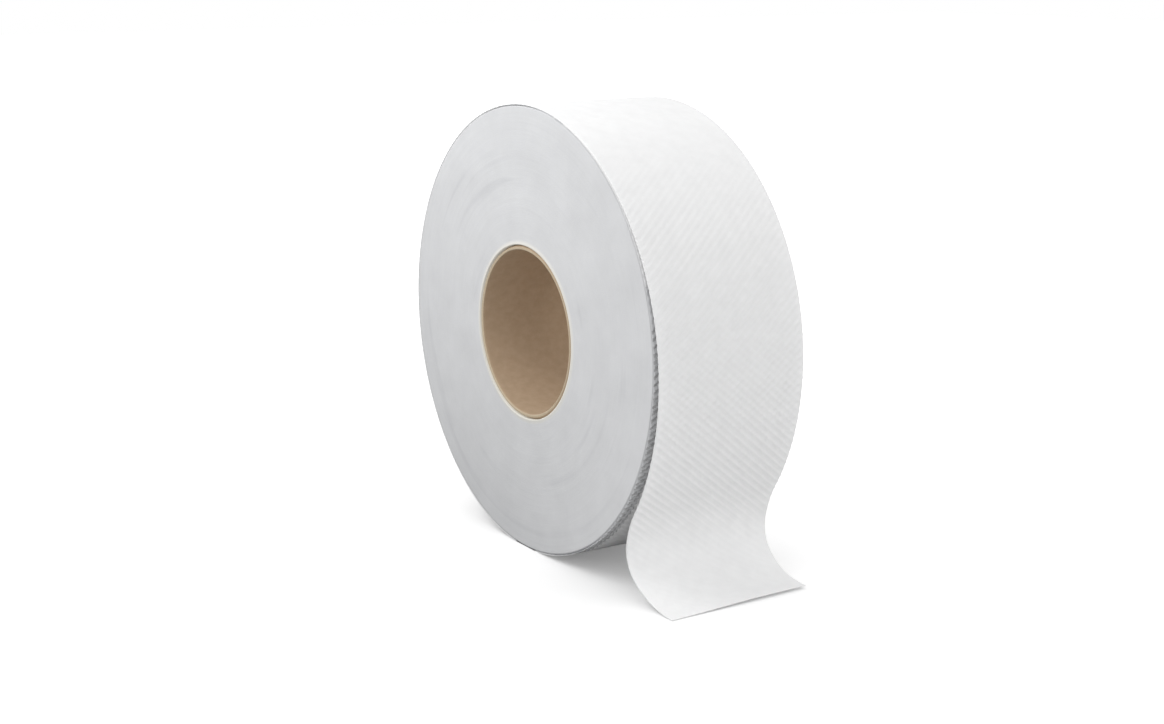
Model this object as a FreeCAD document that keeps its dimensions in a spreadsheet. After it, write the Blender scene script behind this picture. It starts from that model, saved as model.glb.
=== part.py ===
import FreeCAD, Part
import math
import os
import Sketcher
from FreeCAD import Placement, Rotation, Vector

# A jumbo toilet tissue roll that stands on its curved side. The roll's axis is
# the Y axis, the origin is the middle of the core's bore, +Z is up, and the
# loose end of the paper hangs down on the +X side and lies on the floor.

# Driving sizes, one row each: alias, value in millimetres or degrees, meaning
SIZES = [
    ("roll_diameter", 228.6, "across the wound paper"),
    ("web_width", 84.0, "paper and core, from end to end"),
    ("core_bore", 84.0, "hole through the cardboard core"),
    ("core_wall", 2.5, "cardboard core, all its plies"),
    ("core_bevel", 0.4, "worn edge of the core at each end"),
    ("sheet_thick", 0.5, "one embossed turn of the paper"),
    ("flat_width", 24.0, "flat spot that the soft roll stands on"),
    ("leave_angle", 74.0, "above the horizon, where the outer turn comes loose"),
    ("crevice_angle", 20.0, "from there to where the gap behind it opens"),
    ("loose_slack", 5.3, "what the loose turn's radius is over the roll's"),
    ("knee_radius", 49.0, "first bend of the tail, away from the roll"),
    ("knee_lean", 11.0, "lean of the tail towards the roll, below that bend"),
    ("heel_radius", 18.0, "tight bend where the tail turns outwards"),
    ("heel_lean", 52.0, "lean of the tail away from the roll, below that bend"),
    ("toe_radius", 45.5, "last bend, down to the floor"),
    ("toe_length", 0.5, "end of the tail that lies flat"),
    ("turn_pitch", 12.0, "radial step between the turns that show on an end"),
    ("turn_gap", 0.5, "width of the line between two such turns"),
    ("turn_depth", 0.3, "depth of that line"),
    ("turn_margin", 3.0, "plain paper at the core and at the rim"),
]

doc = FreeCAD.newDocument("tissue_roll")
sheet = doc.addObject("Spreadsheet::Sheet", "sizes")
for row, (alias, value, meaning) in enumerate(SIZES, start=1):
    sheet.set("A%d" % row, alias)
    sheet.set("B%d" % row, str(value))
    sheet.set("C%d" % row, meaning)
    sheet.setAlias("B%d" % row, alias)
doc.recompute()


def size(alias):
    """The number in the sheet's cell of that name."""
    return float(getattr(sheet, alias))


def origin_plane(body, role):
    """The body's own origin plane of that role."""
    return [part for part in body.Origin.OriginFeatures if part.Role == role][0]


def new_body(label):
    """A body whose label is its file's name."""
    body = doc.addObject("PartDesign::Body", label)
    body.Label = label
    return body


def end_sketch(body, name):
    """A sketch seen along +Y, with its own x to the right and its own y up."""
    sketch = body.newObject("Sketcher::SketchObject", name)
    sketch.AttachmentSupport = [(origin_plane(body, "XZ_Plane"), "")]
    sketch.MapMode = "FlatFace"
    return sketch


def bind(sketch, constraint, name, expression):
    """Adds a constraint and ties its value to the sheet."""
    index = sketch.addConstraint(constraint)
    sketch.renameConstraint(index, name)
    sketch.setExpression("Constraints." + name, expression)


def circle(sketch, name, expression, radius):
    """A circle about the axis, its radius tied to the sheet."""
    middle = Vector(0, 0, 0)
    edge = sketch.addGeometry(Part.Circle(middle, Vector(0, 0, 1), radius), False)
    sketch.addConstraint(Sketcher.Constraint("Coincident", edge, 3, -1, 1))
    bind(sketch, Sketcher.Constraint("Radius", edge, radius), name, expression)


def pad_both_ways(body, sketch, name):
    """Paper and core are cut by one saw, so both have the web's width."""
    pad = body.newObject("PartDesign::Pad", name)
    pad.Profile = sketch
    pad.SideType = "Symmetric"
    pad.setExpression("Length", "sizes.web_width")
    return pad


def polar(centre, radius, angle):
    """The point at that angle in degrees, on a circle about centre."""
    turn = math.radians(angle)
    return centre + Vector(math.cos(turn), math.sin(turn), 0) * radius


def core_tube():
    """Cardboard core: a tube with its saw-cut edges worn round."""
    body = new_body("core_tube")
    bore = size("core_bore") / 2
    sketch = end_sketch(body, "core_section")
    circle(sketch, "bore_radius", "sizes.core_bore / 2", bore)
    outside = bore + size("core_wall")
    circle(sketch, "wound_radius", "sizes.core_bore / 2 + sizes.core_wall", outside)
    pad = pad_both_ways(body, sketch, "core_length")
    doc.recompute()
    rims = []
    for number, edge in enumerate(pad.Shape.Edges, start=1):
        if isinstance(edge.Curve, Part.Circle) and abs(edge.Curve.Radius - bore) < 1e-6:
            rims.append("Edge%d" % number)
    bevel = body.newObject("PartDesign::Chamfer", "core_rims")
    bevel.Base = (pad, rims)
    bevel.setExpression("Size", "sizes.core_bevel")
    body.Tip = bevel
    return body


class Outline:
    """A closed outline of arcs and lines, drawn clockwise into a sketch."""

    def __init__(self, sketch):
        self.sketch = sketch
        self.edges = []

    def arc(self, centre, radius, start, end, name="", expression=""):
        """An arc from angle start to angle end, whichever way round is written."""
        low, high = math.radians(min(start, end)), math.radians(max(start, end))
        whole = Part.Circle(centre, Vector(0, 0, 1), radius)
        edge = self.sketch.addGeometry(Part.ArcOfCircle(whole, low, high), False)
        self.edges.append((edge, 2, 1) if start > end else (edge, 1, 2))
        if name:
            rule = Sketcher.Constraint("Radius", edge, radius)
            bind(self.sketch, rule, name, expression)

    def line(self, start, end):
        edge = self.sketch.addGeometry(Part.LineSegment(start, end), False)
        self.edges.append((edge, 1, 2))

    def close(self):
        """Joins each edge's end to the next one's start."""
        for here, after in zip(self.edges, self.edges[1:] + self.edges[:1]):
            rule = Sketcher.Constraint("Coincident", here[0], here[2], after[0], after[1])
            self.sketch.addConstraint(rule)


def tissue_roll():
    """The wound web with its loose tail, one piece of paper from core to end."""
    body = new_body("tissue_roll")
    thick = size("sheet_thick")
    roll = size("roll_diameter") / 2
    leave = size("leave_angle")
    open_at = leave - size("crevice_angle")
    slack = size("loose_slack")
    away = polar(Vector(0, 0, 0), 1, leave)

    # One turn of the spiral is two half circles, a sheet's thickness apart
    # where the outer turn comes loose, and the loose turn is a larger circle
    # that touches the roll there.
    outer_middle = away * (thick / 4)
    outer_radius = roll - thick / 4
    inner_middle = away * (-thick / 4)
    inner_radius = roll - 3 * thick / 4
    loose_middle = away * (-slack)
    loose_radius = roll + slack - thick / 2
    flat = size("flat_width") / 2
    floor = inner_middle.y - math.sqrt(inner_radius ** 2 - flat ** 2)

    # The loose turn hangs as far down as brings the tail's three bends onto
    # the floor. A lean is the angle of the sheet from straight down.
    knee, heel, toe = size("knee_radius"), size("heel_radius"), size("toe_radius")
    knee_lean, heel_lean = size("knee_lean"), size("heel_lean")
    inwards = math.sin(math.radians(knee_lean))
    outwards = math.sin(math.radians(heel_lean))
    height = loose_middle.y - floor - thick / 2
    bends = heel * (inwards + outwards) + toe * (1 - outwards) - knee * inwards
    hang = math.degrees(math.asin((height - bends) / (loose_radius + knee)))
    knee_middle = polar(loose_middle, loose_radius + knee, -hang)
    heel_middle = polar(knee_middle, knee - heel, 180 - knee_lean)
    toe_middle = polar(heel_middle, toe - heel, heel_lean)
    toe_end = toe_middle.x + size("toe_length")
    half = thick / 2

    sketch = end_sketch(body, "web_section")
    core_radius = size("core_bore") / 2 + size("core_wall")
    circle(sketch, "core_radius", "sizes.core_bore / 2 + sizes.core_wall", core_radius)
    web = Outline(sketch)
    web.arc(outer_middle, outer_radius, leave + 180, leave,
            "upper_radius", "sizes.roll_diameter / 2 - sizes.sheet_thick / 4")
    web.arc(loose_middle, loose_radius + half, leave, -hang,
            "loose_radius", "sizes.roll_diameter / 2 + sizes.loose_slack")
    web.arc(knee_middle, knee - half, 180 - hang, 180 - knee_lean,
            "knee_radius", "sizes.knee_radius - sizes.sheet_thick / 2")
    web.arc(heel_middle, heel - half, 180 - knee_lean, 180 + heel_lean,
            "heel_radius", "sizes.heel_radius - sizes.sheet_thick / 2")
    web.arc(toe_middle, toe - half, 180 + heel_lean, 270,
            "toe_radius", "sizes.toe_radius - sizes.sheet_thick / 2")
    web.line(Vector(toe_middle.x, floor + thick, 0), Vector(toe_end, floor + thick, 0))
    web.line(Vector(toe_end, floor + thick, 0), Vector(toe_end, floor, 0))
    web.line(Vector(toe_end, floor, 0), Vector(toe_middle.x, floor, 0))
    web.arc(toe_middle, toe + half, 270, 180 + heel_lean)
    web.arc(heel_middle, heel + half, 180 + heel_lean, 180 - knee_lean)
    web.arc(knee_middle, knee + half, 180 - knee_lean, 180 - hang)
    web.arc(loose_middle, loose_radius - half, -hang, open_at)
    crevice = polar(loose_middle, loose_radius - half, open_at)
    under = crevice - inner_middle
    inner_start = math.degrees(math.atan2(under.y, under.x))
    flat_angle = math.degrees(math.acos(flat / inner_radius))
    web.line(crevice, polar(inner_middle, inner_radius, inner_start))
    web.arc(inner_middle, inner_radius, inner_start, -flat_angle,
            "lower_radius", "sizes.roll_diameter / 2 - sizes.sheet_thick * 3 / 4")
    web.line(polar(inner_middle, inner_radius, -flat_angle),
             polar(inner_middle, inner_radius, flat_angle - 180))
    web.arc(inner_middle, inner_radius, flat_angle - 180, leave - 180)
    web.close()
    pad = pad_both_ways(body, sketch, "web_length")

    near = turn_lines(body, core_radius, roll)
    far = body.newObject("PartDesign::Mirrored", "turns_far_end")
    far.Originals = [near]
    far.MirrorPlane = (origin_plane(body, "XZ_Plane"), [""])
    body.Tip = far
    doc.recompute()
    if not far.Shape.Volume < near.Shape.Volume < pad.Shape.Volume:
        raise ValueError("the lines between the turns cut nothing")
    return body


def turn_lines(body, core_radius, roll):
    """A spiral line on the near end, which parts the turns of the web."""
    sketch = end_sketch(body, "turns_near_end")
    sketch.AttachmentOffset = Placement(Vector(0, 0, size("web_width") / 2), Rotation())
    sketch.setExpression("AttachmentOffset.Base.z", "sizes.web_width / 2")
    step = size("turn_pitch") / 2
    first = core_radius + size("turn_margin")
    halves = int((roll - size("turn_margin") - first) / step)
    gap = size("turn_gap") / 2
    line = Outline(sketch)
    route = []
    for half in range(halves):
        side = 1 if half % 2 == 0 else -1
        middle = Vector(side * step / 2, 0, 0)
        route.append((middle, first + half * step + step / 2, 90 + side * 90))
    for middle, radius, start in route:
        line.arc(middle, radius + gap, start, start - 180)
    middle, radius, start = route[-1]
    line.line(polar(middle, radius + gap, start - 180), polar(middle, radius - gap, start - 180))
    for middle, radius, start in reversed(route):
        line.arc(middle, radius - gap, start - 180, start)
    middle, radius, start = route[0]
    line.line(polar(middle, radius - gap, start), polar(middle, radius + gap, start))
    line.close()
    pocket = body.newObject("PartDesign::Pocket", "turns_cut")
    pocket.Profile = sketch
    pocket.setExpression("Length", "sizes.turn_depth")
    return pocket


def check_and_write():
    """Stops on any failed feature, then writes each piece to its own file."""
    doc.recompute()
    for part in doc.Objects:
        if "Invalid" in part.State or "Error" in part.State:
            raise RuntimeError("%s failed: %s" % (part.Label, part.State))
    os.makedirs("parts", exist_ok=True)
    for body in bodies:
        shape = body.Shape
        if shape.isNull() or not shape.isValid() or len(shape.Solids) != 1:
            raise RuntimeError("%s is not one valid solid" % body.Label)
        shape.exportStep("parts/%s.step" % body.Label)
        print(body.Label, "volume", round(shape.Volume), "box", shape.BoundBox)


bodies = [core_tube(), tissue_roll()]
check_and_write()
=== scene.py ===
import math

import bmesh
import bpy
import numpy as np
from mathutils import Matrix, Vector


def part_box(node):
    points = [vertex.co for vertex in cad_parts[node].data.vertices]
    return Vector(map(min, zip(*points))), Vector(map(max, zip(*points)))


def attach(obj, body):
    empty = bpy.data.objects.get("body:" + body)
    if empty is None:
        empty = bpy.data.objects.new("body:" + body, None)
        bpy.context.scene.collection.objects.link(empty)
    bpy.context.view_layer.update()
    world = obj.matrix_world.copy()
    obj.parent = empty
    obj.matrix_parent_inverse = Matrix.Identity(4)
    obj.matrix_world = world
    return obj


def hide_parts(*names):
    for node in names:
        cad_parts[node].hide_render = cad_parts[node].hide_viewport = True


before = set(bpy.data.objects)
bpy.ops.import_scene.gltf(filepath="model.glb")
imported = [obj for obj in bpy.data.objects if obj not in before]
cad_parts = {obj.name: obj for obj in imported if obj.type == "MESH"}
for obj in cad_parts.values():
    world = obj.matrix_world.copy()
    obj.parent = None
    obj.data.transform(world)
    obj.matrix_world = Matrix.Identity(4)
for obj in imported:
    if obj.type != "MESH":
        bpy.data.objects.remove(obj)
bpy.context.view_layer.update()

# A jumbo toilet tissue roll on its curved side. Y is the roll's axis, and the
# loose end of the paper hangs down on the +X side and lies on the floor.
paperLow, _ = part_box("tissue_roll")
coreLow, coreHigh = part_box("core_tube")
halfWidth = -coreLow.y
floorZ = paperLow.z
weldReach = 0.000002
rowReach = 0.00001                # tells the rows of a rolled section apart

# The web: sizes that the wound turns and the loose turn share, in metres
web = {
    "rollRadius": 0.1143,
    "thick": 0.0005,
    "leave": math.radians(74),    # where the outer turn comes loose
    "cellsRound": 171,            # embossed cells in one turn
    "cellsAcross": 16,            # and across the web
    "rising": 0.00042,            # height of the ribs that rise to the right,
    "risingAt": math.radians(7),  # where round the roll they are strongest,
    "risingNarrow": 3,            # and how soon they fade away from there
    "falling": 0.00052,           # the same for those that fall
    "fallingAt": math.radians(-50),
    "fallingNarrow": 2,
    "facing": 0.62,               # ribs on the right side of the roll are higher
    "crimp": 0.00010,             # finer ripple that the loose turn's edges show
    "rimCrimp": 0.00040,          # and the roll's rim, low on its right side
    "crimpRaise": 0.27,           # the ripple lies more outwards than inwards
    "crimpReach": 0.004,
    "edgeReach": 0.0035,          # the ribs are pressed flat towards the edges
    "edgeFlat": 0.75,
    "stepsRound": 5,              # mesh columns for each cell, twice that at the edges
    "stepsAcross": 88,
}
turnLength = 2 * math.pi * web["rollRadius"]
cellLength = turnLength / web["cellsRound"]


def vertexArray(mesh):
    flat = np.empty(len(mesh.vertices) * 3)
    mesh.vertices.foreach_get("co", flat)
    return flat.reshape(-1, 3)


def moveVertices(mesh, places):
    mesh.vertices.foreach_set("co", places.ravel())
    mesh.update()


def smoothStep(low, high, value):
    t = np.clip((value - low) / (high - low), 0, 1)
    return t * t * (3 - 2 * t)


def ripple(along, across, perCell):
    # the edges' own ripple, aslant like the ribs
    turned = 2 * math.pi * perCell * along / cellLength
    return np.cos(turned + math.pi * across / halfWidth * web["cellsAcross"])


def strongAt(angle, side, narrow):
    # 1 on that side of the roll and on the opposite one, 0 between them
    return (0.5 + 0.5 * np.cos(2 * (angle - side))) ** narrow


def embossHeight(along, across, crimp):
    # two families of slanting ribs cross in small diamonds
    a = 2 * math.pi * along / cellLength
    b = math.pi * across / halfWidth * web["cellsAcross"]
    angle = web["leave"] - along / web["rollRadius"]
    rising = web["rising"] * strongAt(angle, web["risingAt"], web["risingNarrow"])
    falling = web["falling"] * strongAt(angle, web["fallingAt"], web["fallingNarrow"])
    fromEdge = halfWidth - np.abs(across)
    share = web["facing"] + (1 - web["facing"]) * np.cos(angle)
    share *= 1 - web["edgeFlat"] * (1 - smoothStep(0, web["edgeReach"], fromEdge))
    edge = 1 - smoothStep(0, web["crimpReach"], fromEdge)
    return (share * (rising * np.cos(a + b) + falling * np.cos(a - b))
            + edge * crimp * (ripple(along, across, 2) + web["crimpRaise"]))


def spiralDrop(angle):
    # one turn of the spiral: the surface falls by a sheet's thickness
    past = (angle - web["leave"]) % (2 * math.pi)
    return past, -web["thick"] * past / (2 * math.pi)


def finishPiece(bm, name, materials):
    mesh = bpy.data.meshes.new(name)
    bm.to_mesh(mesh)
    bm.free()
    piece = bpy.data.objects.new(name, mesh)
    bpy.context.scene.collection.objects.link(piece)
    for material in materials:
        mesh.materials.append(material)
    mesh.polygons.foreach_set("use_smooth", [True] * len(mesh.polygons))
    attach(piece, "root")
    return piece


def rolledSection(corners, cuts, steps):
    # a grid, rolled up about Y so that its rows follow a closed section
    line = []
    for start, end, count in zip(corners, corners[1:] + corners[:1], cuts):
        for part in np.arange(count + 1) / (count + 1):
            line.append(np.array(start) * (1 - part) + np.array(end) * part)
    line.append(np.array(corners[0]))
    bm = bmesh.new()
    bmesh.ops.create_grid(bm, x_segments=steps, y_segments=len(line) - 1, size=1)
    for vert in bm.verts:
        radius, y = line[round((vert.co.y + 1) / 2 * (len(line) - 1))]
        angle = math.pi * (vert.co.x + 1)
        vert.co = (radius * math.cos(angle), y, radius * math.sin(angle))
    bmesh.ops.remove_doubles(bm, verts=bm.verts[:], dist=weldReach)
    bmesh.ops.recalc_face_normals(bm, faces=bm.faces[:])
    return bm


def splitEdges(bm, reach, runsAlong):
    # more columns where the cut edges are, for their finer ripple
    chosen = []
    for edge in bm.edges:
        first, second = [vert.co for vert in edge.verts]
        if min(abs(first.y), abs(second.y)) > reach and runsAlong(first, second):
            chosen.append(edge)
    bmesh.ops.subdivide_edges(bm, edges=chosen, cuts=1)


# Materials


def newMaterial(name, roughness, specular):
    material = bpy.data.materials.new(name)
    material.use_nodes = True
    shader = material.node_tree.nodes["Principled BSDF"]
    shader.inputs["Roughness"].default_value = roughness
    shader.inputs["Specular IOR Level"].default_value = specular
    return material, shader


def addNode(owner, kind, settings=None, **inputs):
    # an input's name is its socket's name, or _ and its number
    node = owner.node_tree.nodes.new("ShaderNode" + kind)
    for key, value in (settings or {}).items():
        setattr(node, key, value)
    for key, value in inputs.items():
        socket = node.inputs[int(key[1:])] if key[1:].isdigit() else node.inputs[key]
        if isinstance(value, bpy.types.NodeSocket):
            owner.node_tree.links.new(value, socket)
        else:
            socket.default_value = value
    return node


def calculate(owner, operation, first, second, third=0.0):
    node = addNode(owner, "Math", {"operation": operation}, _0=first, _1=second, _2=third)
    return node.outputs["Value"]


def vectorNode(material, operation, first, **others):
    return addNode(material, "VectorMath", {"operation": operation}, _0=first, **others)


def mixColours(material, factor, first, second, blend="MIX"):
    mix = addNode(material, "Mix", {"data_type": "RGBA", "blend_type": blend},
                  _0=factor, _6=first, _7=second)
    return mix.outputs[2]


def mapRange(material, value, low, high, lowResult=0.0, highResult=1.0):
    node = addNode(material, "MapRange", Value=value)
    node.inputs["From Min"].default_value = low
    node.inputs["From Max"].default_value = high
    node.inputs["To Min"].default_value = lowResult
    node.inputs["To Max"].default_value = highResult
    return node.outputs["Result"]


def objectPlaces(material, scale=(1, 1, 1)):
    coords = addNode(material, "TexCoord")
    mapping = addNode(material, "Mapping", Vector=coords.outputs["Object"], Scale=scale)
    return mapping.outputs["Vector"]


def noiseOn(material, places, scale, detail=2.0, roughness=0.5):
    return addNode(material, "TexNoise", Vector=places, Scale=scale, Detail=detail,
                   Roughness=roughness)


def flatAndRadius(material, places):
    # the place in the plane of the roll's end, and how far it is from the axis
    flat = vectorNode(material, "MULTIPLY", places, _1=(1, 0, 1)).outputs[0]
    return flat, vectorNode(material, "LENGTH", flat).outputs["Value"]


def ringNoise(material, flat, radius, pitch, length, detail):
    # noise drawn out round the roll
    around = vectorNode(material, "NORMALIZE", flat).outputs[0]
    turned = vectorNode(material, "SCALE", around, Scale=length).outputs[0]
    rings = calculate(material, "MULTIPLY", radius, float(pitch))
    raised = addNode(material, "CombineXYZ", Y=rings).outputs[0]
    places = vectorNode(material, "ADD", turned, _1=raised).outputs[0]
    return noiseOn(material, places, 1.0, detail, 0.6).outputs["Fac"]


def colourBetween(material, factor, low, high, start=0.35, end=0.65):
    ramp = addNode(material, "ValToRGB", Fac=factor)
    ramp.color_ramp.elements[0].position = start
    ramp.color_ramp.elements[0].color = (*low, 1)
    ramp.color_ramp.elements[1].position = end
    ramp.color_ramp.elements[1].color = (*high, 1)
    return ramp.outputs["Color"]


def bumpOn(material, shader, height, strength, distance, below=None):
    bump = addNode(material, "Bump", Height=height, Strength=strength, Distance=distance)
    if below is not None:
        material.node_tree.links.new(below, bump.inputs["Normal"])
    material.node_tree.links.new(bump.outputs["Normal"], shader.inputs["Normal"])
    return bump.outputs["Normal"]


tissue = {
    "low": (0.835, 0.836, 0.838),
    "high": (0.865, 0.866, 0.868),
    "foldShadeLow": (0.42, 0.422, 0.426),  # painted shade: darker tissue for the valleys of the rim's folds, where little light comes out
    "foldShadeHigh": (0.47, 0.472, 0.476),
    "roughness": 0.92,
    "specular": 0.2,
    "cloud": 140,                     # soft clouding of the pulp, per metre
    "crepe": (2200, 320, 2200),       # fine creping, long across the web
    "crepeStrength": 0.12,
    "crepeDepth": 0.0001,
    "lightReach": 0.0004,             # how far light goes into the paper
    "sheetLight": 0.7,                # share that does so in the single sheet
}


def tissueFinish(name, throughLight, low, high):
    v = tissue
    material, shader = newMaterial(name, v["roughness"], v["specular"])
    shader.inputs["Subsurface Weight"].default_value = throughLight
    shader.inputs["Subsurface Radius"].default_value = (1, 1, 1)
    shader.inputs["Subsurface Scale"].default_value = v["lightReach"]
    cloud = noiseOn(material, objectPlaces(material), v["cloud"], detail=4.0, roughness=0.6)
    colour = colourBetween(material, cloud.outputs["Fac"], low, high)
    material.node_tree.links.new(colour, shader.inputs["Base Color"])
    stretched = objectPlaces(material, v["crepe"])
    crepe = noiseOn(material, stretched, 1.0, detail=3.0, roughness=0.6)
    bumpOn(material, shader, crepe.outputs["Fac"], v["crepeStrength"], v["crepeDepth"])
    return material


cutEnd = {
    "low": (0.615, 0.620, 0.631),
    "high": (0.675, 0.681, 0.692),
    "cream": (0.78, 0.76, 0.695),     # next to the core
    "creamReach": 0.0026,
    "roughness": 0.95,
    "specular": 0.15,
    "ringPitch": 900,                 # the turns as the saw leaves them, per metre
    "ringLength": 3.0,                # how often a line breaks on its way round
    "ringShare": 0.25,                # the rest of the colour's changes is clouding
    "cloud": 60,
    "arcPitch": 130,                  # a few soft arcs, where turns were wound tighter
    "arcLength": 0.9,
    "arcShade": (0.93, 0.93, 0.935),
    "bumpStrength": 0.2,
    "bumpDepth": 0.0002,
    "dust": 1500,
    "dustStrength": 0.3,
}


def cutEndFinish():
    v = cutEnd
    material, shader = newMaterial("cutEnd", v["roughness"], v["specular"])
    plain = objectPlaces(material)
    flat, radius = flatAndRadius(material, plain)
    lines = ringNoise(material, flat, radius, v["ringPitch"], v["ringLength"], 3.0)
    cloud = noiseOn(material, plain, v["cloud"], detail=5.0, roughness=0.6)
    level = calculate(material, "MULTIPLY", lines, v["ringShare"])
    level = calculate(material, "MULTIPLY_ADD", cloud.outputs["Fac"], 1 - v["ringShare"], level)
    colour = colourBetween(material, level, v["low"], v["high"], start=0.3, end=0.7)
    arcs = ringNoise(material, flat, radius, v["arcPitch"], v["arcLength"], 2.0)
    shade = colourBetween(material, arcs, (1, 1, 1), v["arcShade"], start=0.6, end=0.74)
    shaded = mixColours(material, 1.0, colour, shade, "MULTIPLY")
    fromCore = mapRange(material, radius, coreHigh.x, coreHigh.x + v["creamReach"])
    whole = mixColours(material, fromCore, (*v["cream"], 1), shaded)
    material.node_tree.links.new(whole, shader.inputs["Base Color"])
    ringBump = bumpOn(material, shader, lines, v["bumpStrength"], v["bumpDepth"])
    dust = noiseOn(material, plain, v["dust"])
    bumpOn(material, shader, dust.outputs["Fac"], v["dustStrength"], v["bumpDepth"], ringBump)
    return material


board = {
    "low": (0.455, 0.340, 0.231),
    "high": (0.50, 0.376, 0.262),
    "edgeLow": (0.47, 0.385, 0.27),
    "edgeHigh": (0.60, 0.505, 0.375),
    "roughness": 0.85,
    "specular": 0.25,
    "fibre": (300, 220, 300),
    "fibreStrength": 0.1,
    "ply": 1900,
    "fuzz": 900,
    "fuzzStrength": 0.3,
    "bumpDepth": 0.0002,
}


def boardFinish():
    v = board
    material, shader = newMaterial("coreBoard", v["roughness"], v["specular"])
    fibres = objectPlaces(material, v["fibre"])
    fleck = noiseOn(material, fibres, 1.0, detail=6.0, roughness=0.65)
    colour = colourBetween(material, fleck.outputs["Fac"], v["low"], v["high"])
    material.node_tree.links.new(colour, shader.inputs["Base Color"])
    bumpOn(material, shader, fleck.outputs["Fac"], v["fibreStrength"], v["bumpDepth"])
    return material


def boardEdgeFinish():
    v = board
    material, shader = newMaterial("coreEdge", v["roughness"], v["specular"])
    plain = objectPlaces(material)
    radius = flatAndRadius(material, plain)[1]
    plies = calculate(material, "MULTIPLY", radius, float(v["ply"]))
    places = addNode(material, "CombineXYZ", X=plies).outputs[0]
    fuzz = noiseOn(material, plain, v["fuzz"], detail=3.0, roughness=0.6)
    warped = vectorNode(material, "ADD", places, _1=fuzz.outputs["Color"]).outputs[0]
    layers = noiseOn(material, warped, 1.0)
    colour = colourBetween(material, layers.outputs["Fac"], v["edgeLow"], v["edgeHigh"])
    material.node_tree.links.new(colour, shader.inputs["Base Color"])
    bumpOn(material, shader, fuzz.outputs["Fac"], v["fuzzStrength"], v["bumpDepth"])
    return material


tissueMaterial = tissueFinish("tissue", 0, tissue["low"], tissue["high"])
sheetMaterial = tissueFinish("tissueSheet", tissue["sheetLight"], tissue["low"], tissue["high"])
# painted shade: a darker copy of the tissue, for the valleys of the rim's folds
foldShadeMaterial = tissueFinish("rimFoldShade", 0, tissue["foldShadeLow"], tissue["foldShadeHigh"])
cutEndMaterial = cutEndFinish()
boardMaterial = boardFinish()
boardEdgeMaterial = boardEdgeFinish()
print("finishes made")


# Wound roll: both saw-cut ends, with the turns just showing

wound = {
    "inner": coreHigh.x,
    "outer": 0.11342,
    "rings": 119,
    "steps": 380,
    "turnPitch": 0.0016,    # a band of turns that the saw left at one level
    "turnHeight": 0.000012,
    "turnReach": 0.004,     # the bands begin softly at the core
    "fringe": 0.00025,      # the first turns stand a little proud of the core
    "fringeReach": 0.002,
    "dish": 0.0002,
    "floorGap": 0.0001,
    "bands": 64,
    "seed": 5,
}


def makeWoundRoll():
    v = wound
    corners = [(v["inner"], -halfWidth), (v["outer"], -halfWidth),
               (v["outer"], halfWidth), (v["inner"], halfWidth)]
    bm = rolledSection(corners, [v["rings"], 0, v["rings"], 0], v["steps"])
    piece = finishPiece(bm, "woundRoll", [cutEndMaterial])
    places = vertexArray(piece.data)
    x, y, z = places.T
    radius = np.hypot(x, z)
    angle = np.arctan2(z, x)
    # bands follow the spiral, so a band's level runs on from turn to turn
    turn = (radius - v["inner"]) / v["turnPitch"] + angle / (2 * math.pi) + 1
    levels = np.random.default_rng(v["seed"]).normal(0, 1, (2, v["bands"]))
    end = (y > 0).astype(int)
    whole = np.floor(turn).astype(int)
    part = smoothStep(0.0, 1.0, turn - whole)
    band = levels[end, whole] * (1 - part) + levels[end, whole + 1] * part
    fromCore = radius - v["inner"]
    relief = band * v["turnHeight"] * smoothStep(0, v["turnReach"], fromCore)
    relief += v["fringe"] * (1 - smoothStep(0, v["fringeReach"], fromCore))
    out = fromCore / (v["outer"] - v["inner"])
    relief -= v["dish"] * np.sin(math.pi * out)
    radius = radius + spiralDrop(angle)[1] * out
    places[:, 0] = radius * np.cos(angle)
    places[:, 1] += np.sign(y) * relief
    places[:, 2] = np.maximum(radius * np.sin(angle), floorZ + v["floorGap"])
    moveVertices(piece.data, places)
    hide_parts("tissue_roll")
    return piece


woundRoll = makeWoundRoll()
print("wound roll made")


# Outer turns: the embossed tread, and the line behind the last turn's edge

outer = {
    "inner": 0.1128,
    "lip": 0.00020,             # the last turn's own edge
    "gapDepth": 0.0016,         # dark line between it and the turns below
    "pocket": 0.00010,          # how far an embossed cell closes that line
    "rippleHeight": (-0.3, 0.2),  # the rim's ripple goes away between these heights,
    "rippleSide": (0.4, 0.7),   # and comes in between these places to the right
    "shadedReach": 0.006,       # painted shade: the rim in the gap behind the loose turn takes the cut end's darker colour
    "shadedSide": 0.4,
    "shadedHeight": 0.35,
    "foldShadeHeight": 0.2,          # painted shade in the valleys of the rim's folds, below this height
    "foldShadesPerCell": 1.2,
    "foldShadeShare": -0.15,
    "runLeast": 0.0005,         # shortest edge of the mesh that runs round the roll
    "hiddenStep": math.radians(3),
    "hiddenDrop": 0.00001,
    "floorGap": 0.00002,
}


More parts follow.
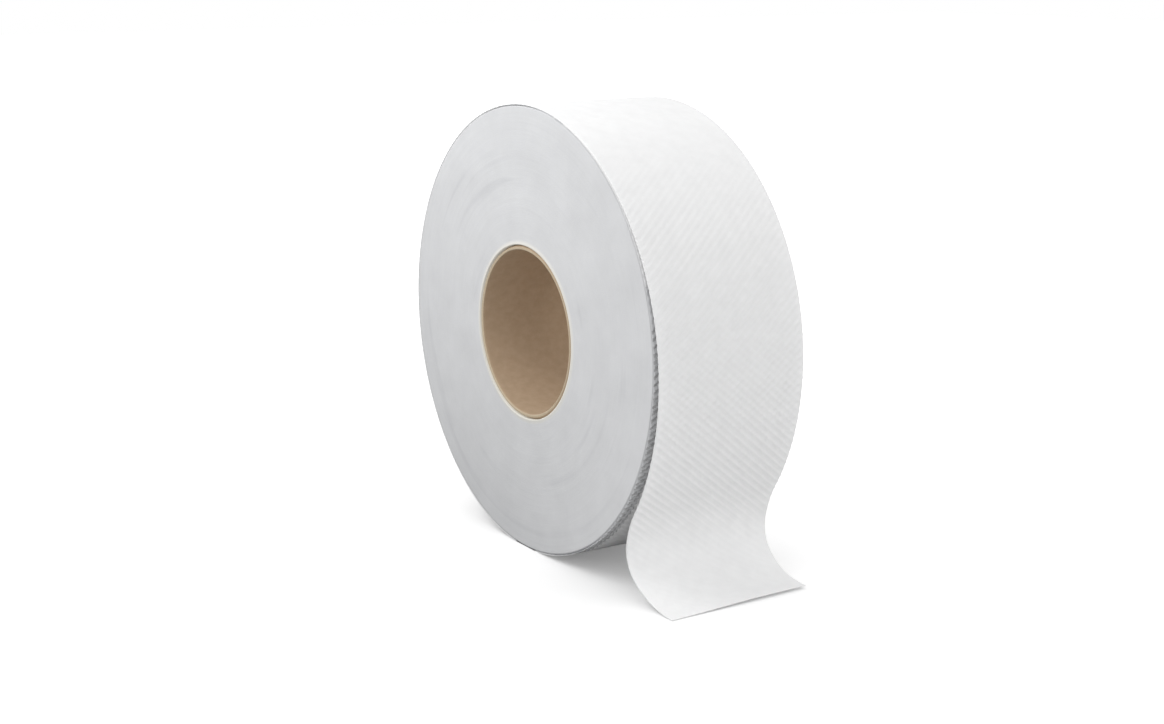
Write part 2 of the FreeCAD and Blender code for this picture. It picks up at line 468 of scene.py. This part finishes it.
def makeOuterTurns():
    # heights and places to the right are over the roll's radius
    v = outer
    tread = web["rollRadius"]
    lip = tread - v["lip"]
    near, deep = halfWidth, halfWidth - v["gapDepth"]
    corners = [(tread, -near), (tread, near), (lip, near), (lip, deep), (v["inner"], deep),
               (v["inner"], -deep), (lip, -deep), (lip, -near)]
    cuts = [web["stepsAcross"] - 1] + [0] * 7
    bm = rolledSection(corners, cuts, web["cellsRound"] * web["stepsRound"])
    splitEdges(bm, halfWidth - web["crimpReach"],
               lambda a, b: (a.xz - b.xz).length > v["runLeast"])
    piece = finishPiece(bm, "outerTurns", [tissueMaterial, cutEndMaterial, foldShadeMaterial])
    places = vertexArray(piece.data)
    x, y, z = places.T
    radius = np.hypot(x, z)
    angle = np.arctan2(z, x)
    past, drop = spiralDrop(angle)
    drop[past > 2 * math.pi - v["hiddenStep"]] = -v["hiddenDrop"]
    along = -past * tread
    low = 1 - smoothStep(*v["rippleHeight"], np.sin(angle))
    low *= smoothStep(*v["rippleSide"], np.cos(angle))
    pocket = low * v["pocket"] * (0.5 + 0.5 * np.cos(4 * math.pi * along / cellLength))
    inside = radius < lip + rowReach
    onEdge = inside & (radius > v["inner"] + rowReach)
    raised = embossHeight(along, y, low * web["rimCrimp"])
    radius = radius + drop + np.where(inside & ~onEdge, 0, raised)
    radius = np.where(onEdge, radius - pocket, radius)
    places[:, 0] = radius * np.cos(angle)
    places[:, 2] = np.maximum(radius * np.sin(angle), floorZ + v["floorGap"])
    moveVertices(piece.data, places)
    for face in piece.data.polygons:
        shadeFace(face, tread)
    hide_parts("tissue_roll")
    return piece


def shadeFace(face, tread):
    v = outer
    middle, normal = face.center, face.normal
    right, height = middle.x / tread, middle.z / tread
    # painted shade: tread faces in the gap behind the loose turn take the darker cut-end colour
    inGap = abs(middle.y) > halfWidth - v["shadedReach"]
    inGap = inGap and right > v["shadedSide"] and height < v["shadedHeight"]
    facesEnd = abs(normal.y) > 0.7
    if facesEnd or inGap:
        face.material_index = 1
    facesOut = normal.xz.dot(middle.xz) > 0.5 * middle.xz.length
    # painted shade: fold valleys low in that gap take the darker tissue
    if inGap and facesOut and height < v["foldShadeHeight"]:
        past = math.atan2(middle.z, middle.x) - web["leave"]
        if ripple(-past * tread, middle.y, v["foldShadesPerCell"]) < v["foldShadeShare"]:
            face.material_index = 2


outerTurns = makeOuterTurns()
print("outer turns made")


# Loose turn: the last turn, hanging off the roll and lying on the floor

loose = {
    "slack": 0.0053,
    "knee": 0.049,
    "kneeLean": math.radians(11),
    "heel": 0.018,
    "heelLean": math.radians(52),
    "toe": 0.0455,
    "toeLength": 0.0005,
    "thick": 0.00035,
    "tuck": 0.0025,          # start of the piece, sunk under the turn it leaves
    "sink": 0.00035,
    "fade": (0.035, 0.075),  # the embossing is pressed flat towards the end
    "fadeTo": 0.12,
    "neckFrom": 0.06,        # and the sheet narrows, by these at its two edges
    "neckNear": 0.0018,
    "neckFar": 0.0026,
    "lift": 0.0013,          # most of the free end doesn't quite lie down
    "liftFrom": 0.024,
    "liftWhole": 0.4,        # of the half width, past which it has its whole lift
}


def loosePath():
    # radius of each bend, and the lean from straight down at its two ends
    v = loose
    thick = web["thick"]
    radius = web["rollRadius"] + v["slack"] - thick / 2
    middleZ = -v["slack"] * math.sin(web["leave"])
    inwards, outwards = math.sin(v["kneeLean"]), math.sin(v["heelLean"])
    bends = v["heel"] * (inwards + outwards) + v["toe"] * (1 - outwards) - v["knee"] * inwards
    height = middleZ - floorZ - thick / 2
    hang = math.asin((height - bends) / (radius + v["knee"]))
    return [(radius, web["leave"], -hang), (v["knee"], -hang, -v["kneeLean"]),
            (v["heel"], -v["kneeLean"], v["heelLean"]), (v["toe"], v["heelLean"], math.pi / 2)]


def walkPath(bends, along):
    # place and lean of the sheet's middle, that far along from where it leaves
    away = web["rollRadius"] - web["thick"] / 2
    x = np.full_like(along, away * math.cos(web["leave"]))
    z = np.full_like(along, away * math.sin(web["leave"]))
    lean = np.full_like(along, bends[0][1])
    left = along.copy()
    for number, (radius, start, end) in enumerate(bends):
        length = radius * abs(end - start)
        least = 0 if number else -math.inf   # the first bend also runs backwards
        turn = math.copysign(1, end - start)
        reached = start + turn * np.clip(left, least, length) / radius
        x += turn * radius * (math.cos(start) - np.cos(reached))
        z += turn * radius * (math.sin(start) - np.sin(reached))
        lean = np.where(left > least, reached, lean)
        left = left - length
    x += np.maximum(left, 0)
    return x, z, lean


def makeLooseTurn():
    v = loose
    bends = loosePath()
    length = sum(radius * abs(end - start) for radius, start, end in bends) + v["toeLength"]
    columns = round((length + v["tuck"]) / cellLength * web["stepsRound"])
    bm = bmesh.new()
    bmesh.ops.create_grid(bm, x_segments=columns, y_segments=web["stepsAcross"], size=1)
    splitEdges(bm, 1 - web["crimpReach"] / halfWidth,
               lambda a, b: abs(a.x - b.x) > abs(a.y - b.y))
    piece = finishPiece(bm, "looseTurn", [sheetMaterial])
    places = vertexArray(piece.data)
    across = places[:, 1] * halfWidth
    along = -v["tuck"] + (places[:, 0] + 1) / 2 * (length + v["tuck"])
    x, z, lean = walkPath(bends, along)
    fromEnd = length - along
    strength = v["fadeTo"] + (1 - v["fadeTo"]) * smoothStep(*v["fade"], fromEnd)
    out = web["thick"] / 2 + embossHeight(along, across, web["crimp"]) * strength
    out -= v["sink"] * np.clip(-along / v["tuck"], 0, 1) ** 2
    neck = 1 - smoothStep(0, v["neckFrom"], fromEnd)
    narrow = np.where(across < 0, v["neckNear"], v["neckFar"]) / halfWidth
    corner = smoothStep(-halfWidth, v["liftWhole"] * halfWidth, across)
    corner *= 1 - smoothStep(0, v["liftFrom"], fromEnd)
    places[:, 0] = x + out * np.cos(lean)
    places[:, 1] = across * (1 - narrow * neck)
    places[:, 2] = z + out * np.sin(lean) + v["lift"] * corner
    places[:, 2] = np.maximum(places[:, 2], floorZ + v["thick"])
    moveVertices(piece.data, places)
    if piece.data.polygons[0].normal.z < 0:
        piece.data.flip_normals()
    wall = piece.modifiers.new("paper", "SOLIDIFY")
    wall.thickness = v["thick"]
    wall.offset = -1
    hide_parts("tissue_roll")
    print("loose turn, m:", round(length, 4))
    return piece


looseTurn = makeLooseTurn()
print("loose turn made")


# Core tube: plies on its rims and a faint helical seam in the bore

core = {
    "bore": 0.042,
    "steps": 180,
    "rows": 60,
    "plies": 5,
    "plyGroove": 0.00006,
    "rimRound": 0.0004,
    "rimShown": 1.2,         # rim rounds whose faces look cut
    "jointWidth": 0.0012,    # bevel that leaves a line between core and paper
    "jointDepth": 0.0024,
    "seamPitch": 0.11,
    "seamWidth": 0.0012,
    "seamDepth": 0.00008,
    "wobble": 0.000045,
    "wobblesRound": 3,
}


def makeCoreTube():
    v = core
    outside, inside = coreHigh.x, v["bore"]
    rim = v["rimRound"]
    joint = v["jointWidth"]
    corners = [(inside, -halfWidth + rim), (inside + rim, -halfWidth),
               (outside - joint, -halfWidth), (outside, -halfWidth + v["jointDepth"]),
               (outside, halfWidth - v["jointDepth"]), (outside - joint, halfWidth),
               (inside + rim, halfWidth), (inside, halfWidth - rim)]
    cuts = [2, 4 * v["plies"] - 1, 1, 0, 1, 4 * v["plies"] - 1, 2, v["rows"]]
    bm = rolledSection(corners, cuts, v["steps"])
    piece = finishPiece(bm, "coreTube", [boardMaterial, boardEdgeMaterial])
    places = vertexArray(piece.data)
    x, y, z = places.T
    radius = np.hypot(x, z)
    angle = np.arctan2(z, x)
    inBore = radius < inside + rowReach
    turn = angle / (2 * math.pi) + y / v["seamPitch"]
    fromSeam = np.abs((turn + 0.5) % 1 - 0.5) * v["seamPitch"]
    seam = v["seamDepth"] * (1 - smoothStep(0, v["seamWidth"], fromSeam))
    onRim = np.abs(y) > halfWidth - rowReach
    ply = np.cos(2 * math.pi * (radius - inside) / (outside - inside) * v["plies"])
    radius = np.where(inBore, radius + seam, radius)
    places[:, 0] = radius * np.cos(angle)
    places[:, 2] = radius * np.sin(angle)
    dip = v["plyGroove"] * (0.5 + 0.5 * ply)
    dip += v["wobble"] * (1 + np.sin(v["wobblesRound"] * angle))
    places[:, 1] -= np.where(onRim, np.sign(y) * dip, 0)
    moveVertices(piece.data, places)
    for face in piece.data.polygons:
        if abs(face.center.y) > halfWidth - v["rimShown"] * rim:
            face.material_index = 1
    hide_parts("core_tube")
    return piece


coreTube = makeCoreTube()
print("core tube made")


# Floor, light and camera

stage = {
    "size": 6.0,
    "floorColour": (0.62, 0.62, 0.62),
    "floorPaintedShade": (0.18, 0.18, 0.18),      # painted shade, seen only by bounced light: in front of the roll's end
    "paintedShadeFront": (0.06, 0.38),
    "paintedShadeRight": (-0.05, 0.13),
    "floorShown": (0.90, 0.90, 0.90),    # as the camera sees it
    "glowPlaces": (-0.085, 0.32),        # camera rays only: the floor goes white
    "glowLevels": (0.13, 0.60),          # past the shadow, towards the back
    "glowSlant": (-0.3, 1.0, 0.0),
    "worldStrength": 0.93,
}

# name, watts, size and place of each soft lamp
lamps = [
    ("frontLamp", 0.54, 0.3, (-0.06, -0.31, 0.28)),
    ("frontLeftLamp", 0.09, 0.2, (-0.15, -0.22, 0.30)),
    ("lowLamp", 1.66, 0.25, (1.38, 0.797, 0.139)),
    ("rightLamp", 0.40, 0.4, (1.5, -0.2, 0.2)),
]


def floorMaterial():
    v = stage
    material = bpy.data.materials.new("floor")
    material.use_nodes = True
    links, nodes = material.node_tree.links, material.node_tree.nodes
    nodes.remove(nodes["Principled BSDF"])
    places = objectPlaces(material)
    towards = []
    for direction in [(0, -1, 0), (1, 0, 0), v["glowSlant"]]:
        distance = vectorNode(material, "DOT_PRODUCT", places, _1=direction)
        towards.append(distance.outputs["Value"])
    front, right, back = towards
    # painted shade for bounced light: the floor is dark in front of the roll's end, and bright
    # behind the roll's middle, well in front of it and to its right
    behind = calculate(material, "LESS_THAN", front, 0.0)
    ahead = mapRange(material, front, *v["paintedShadeFront"])
    aside = mapRange(material, right, *v["paintedShadeRight"])
    bright = calculate(material, "MAXIMUM", calculate(material, "MAXIMUM", ahead, behind), aside)
    lit = mixColours(material, bright, (*v["floorPaintedShade"], 1), (*v["floorColour"], 1))
    ray = addNode(material, "LightPath").outputs["Is Camera Ray"]
    shown = mixColours(material, ray, lit, (*v["floorShown"], 1))
    plain = addNode(material, "BsdfDiffuse", Color=shown)
    rise = mapRange(material, back, *v["glowPlaces"], *v["glowLevels"])
    glow = addNode(material, "Emission", Strength=calculate(material, "MULTIPLY", ray, rise))
    both = addNode(material, "AddShader", _0=plain.outputs[0], _1=glow.outputs[0])
    links.new(both.outputs[0], nodes["Material Output"].inputs["Surface"])
    return material


def makeFloor():
    bm = bmesh.new()
    bmesh.ops.create_grid(bm, x_segments=1, y_segments=1, size=stage["size"])
    mesh = bpy.data.meshes.new("floor")
    bm.to_mesh(mesh)
    bm.free()
    mesh.transform(Matrix.Translation((0, 0, floorZ)))
    floor = bpy.data.objects.new("floor", mesh)
    bpy.context.scene.collection.objects.link(floor)
    mesh.materials.append(floorMaterial())


def makeWorld():
    # lights the roll, and shows as white to the camera and in reflections
    world = bpy.data.worlds.new("studio")
    bpy.context.scene.world = world
    world.use_nodes = True
    nodes, links = world.node_tree.nodes, world.node_tree.links
    light = nodes["Background"]
    light.inputs["Color"].default_value = (1, 1, 1, 1)
    light.inputs["Strength"].default_value = stage["worldStrength"]
    white = addNode(world, "Background", Color=(1, 1, 1, 1), Strength=1.0)
    ray = addNode(world, "LightPath").outputs
    shown = calculate(world, "MAXIMUM", ray["Is Camera Ray"], ray["Is Glossy Ray"])
    shown = calculate(world, "MAXIMUM", shown, ray["Is Transmission Ray"])
    mix = addNode(world, "MixShader", _0=shown, _1=light.outputs[0], _2=white.outputs[0])
    links.new(mix.outputs[0], nodes["World Output"].inputs["Surface"])


def makeLamp(name, power, size, place):
    data = bpy.data.lights.new(name, "AREA")
    data.shape = "DISK"
    data.size = size
    data.energy = power
    lamp = bpy.data.objects.new(name, data)
    lamp.location = place
    lamp.rotation_euler = (-Vector(place)).to_track_quat("-Z", "Y").to_euler()
    bpy.context.scene.collection.objects.link(lamp)


view = {
    "azimuth": math.radians(56.7709),
    "elevation": math.radians(11.7663),
    "distance": 0.91638,
    "yaw": math.radians(0.3814),     # aim, off the middle of the bore
    "pitch": math.radians(1.2531),
    "lens": 54.755,
}


def lookFrom(azimuth, elevation):
    level = math.cos(elevation)
    return Vector((math.sin(azimuth) * level, -math.cos(azimuth) * level, math.sin(elevation)))


def makeCamera():
    v = view
    data = bpy.data.cameras.new("camera")
    data.lens = v["lens"]
    data.sensor_width = 36
    data.sensor_fit = "HORIZONTAL"
    camera = bpy.data.objects.new("camera", data)
    turned = v["azimuth"] + v["yaw"]
    back = lookFrom(turned, v["elevation"] + v["pitch"])
    right = Vector((math.cos(turned), math.sin(turned), 0))
    up = back.cross(right)
    axes = Matrix((right, up, back)).transposed().to_4x4()
    place = lookFrom(v["azimuth"], v["elevation"]) * v["distance"]
    camera.matrix_world = Matrix.Translation(place) @ axes
    bpy.context.scene.collection.objects.link(camera)
    bpy.context.scene.camera = camera


makeFloor()
makeWorld()
for name, power, size, place in lamps:
    makeLamp(name, power, size, place)
makeCamera()
bpy.context.scene.view_settings.view_transform = "Standard"
print("stage made")
